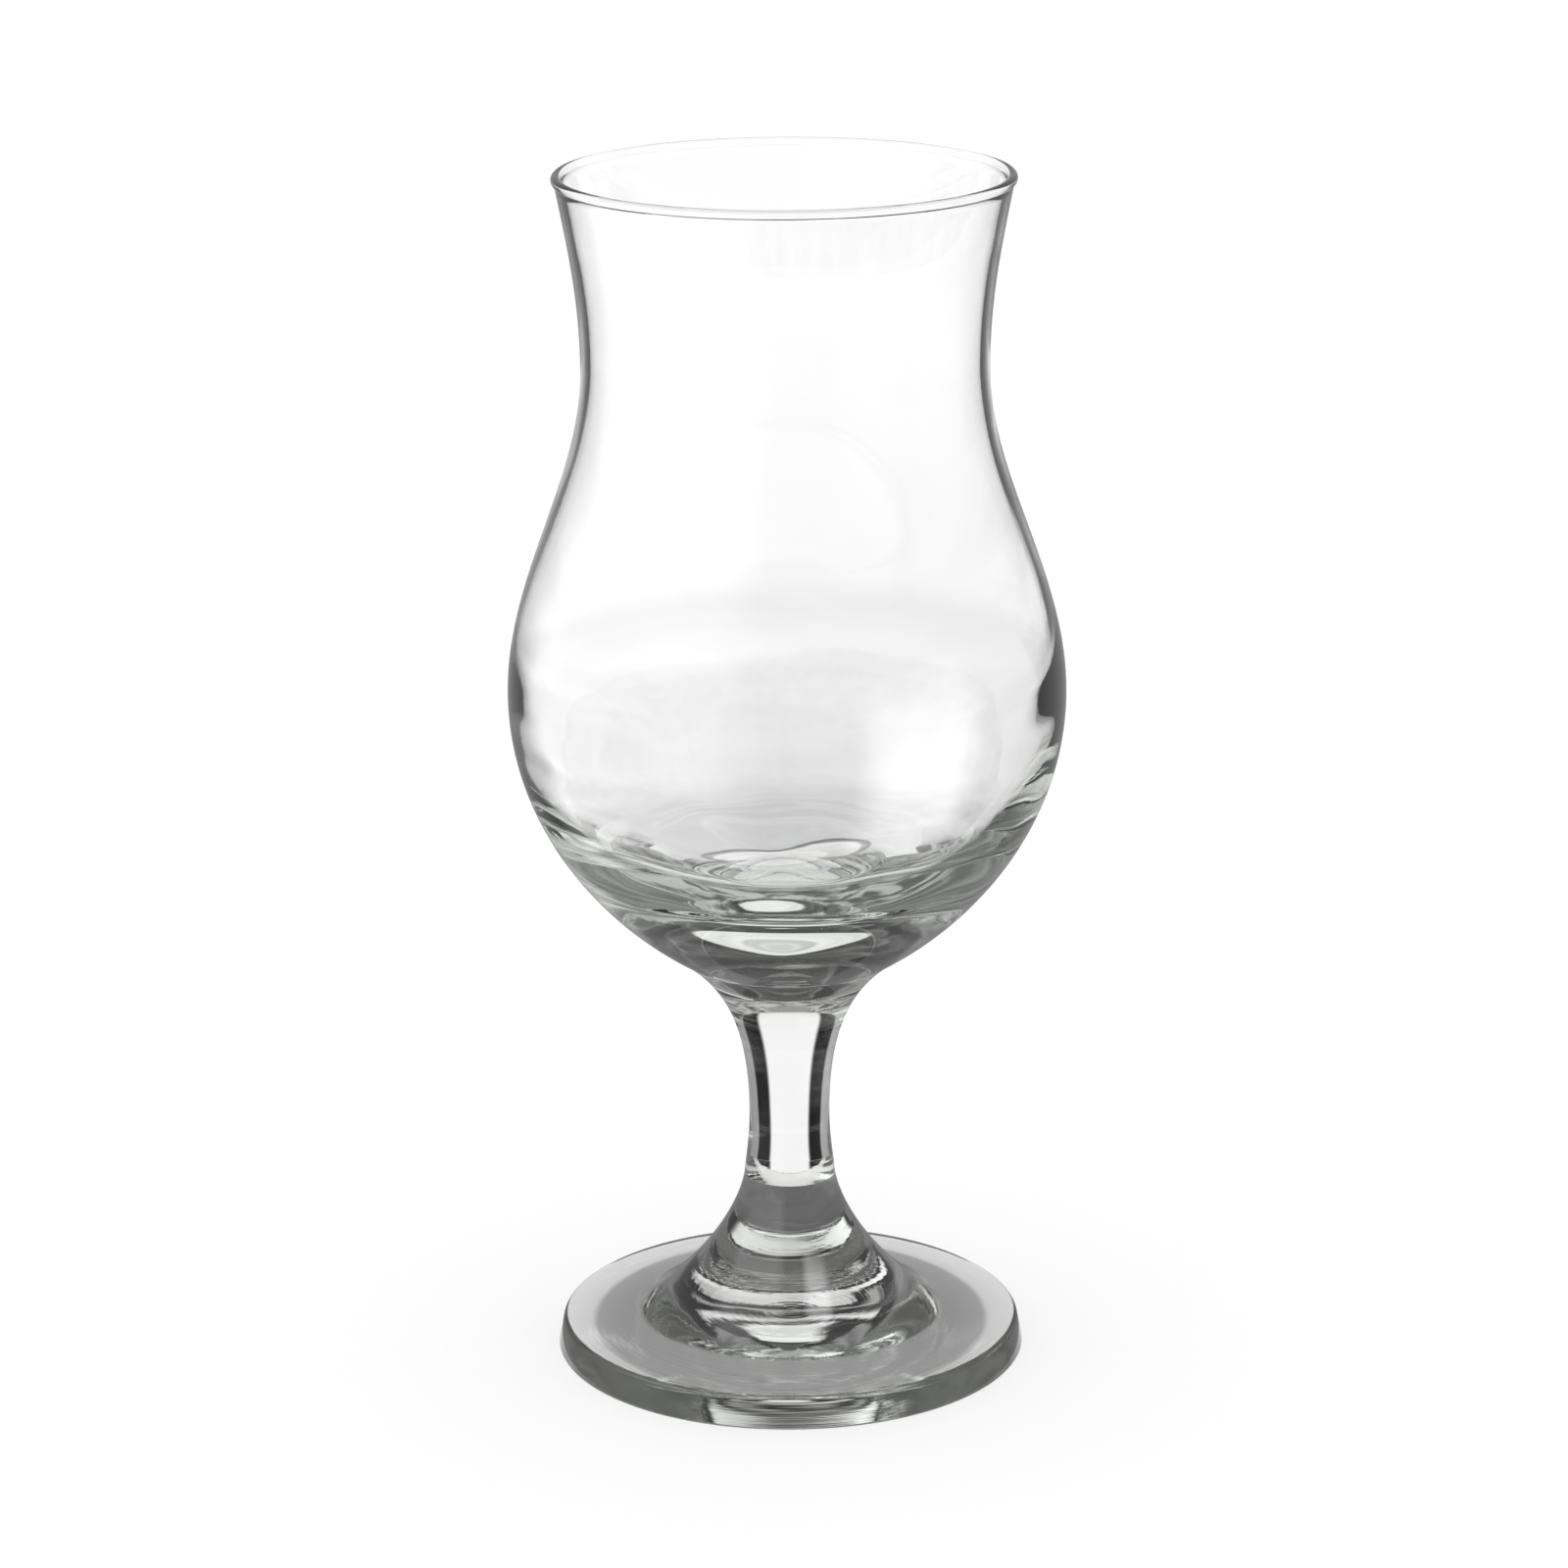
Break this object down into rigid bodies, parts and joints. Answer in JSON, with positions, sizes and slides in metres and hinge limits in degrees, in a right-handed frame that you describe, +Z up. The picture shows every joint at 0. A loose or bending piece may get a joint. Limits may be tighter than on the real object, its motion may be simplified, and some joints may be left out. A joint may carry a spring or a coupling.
{
  "type": "hurricane glass",
  "caption": "Footed hurricane glass with a pear-shaped bowl, flared lip, short solid stem and thick round foot.",
  "frame": {"origin": "on the table, under the middle of the foot", "axes": "+Z up along the glass's axis, towards the lip; X and Y are alike, because every piece is a body of revolution"},
  "size_m": [0.083, 0.083, 0.181],
  "materials": {
    "clear_glass": "fire-polished clear soda-lime glass"
  },
  "bodies": {
    "root": {"bowl": "clear_glass", "stem": "clear_glass", "foot": "clear_glass"}
  },
  "joints": []
}
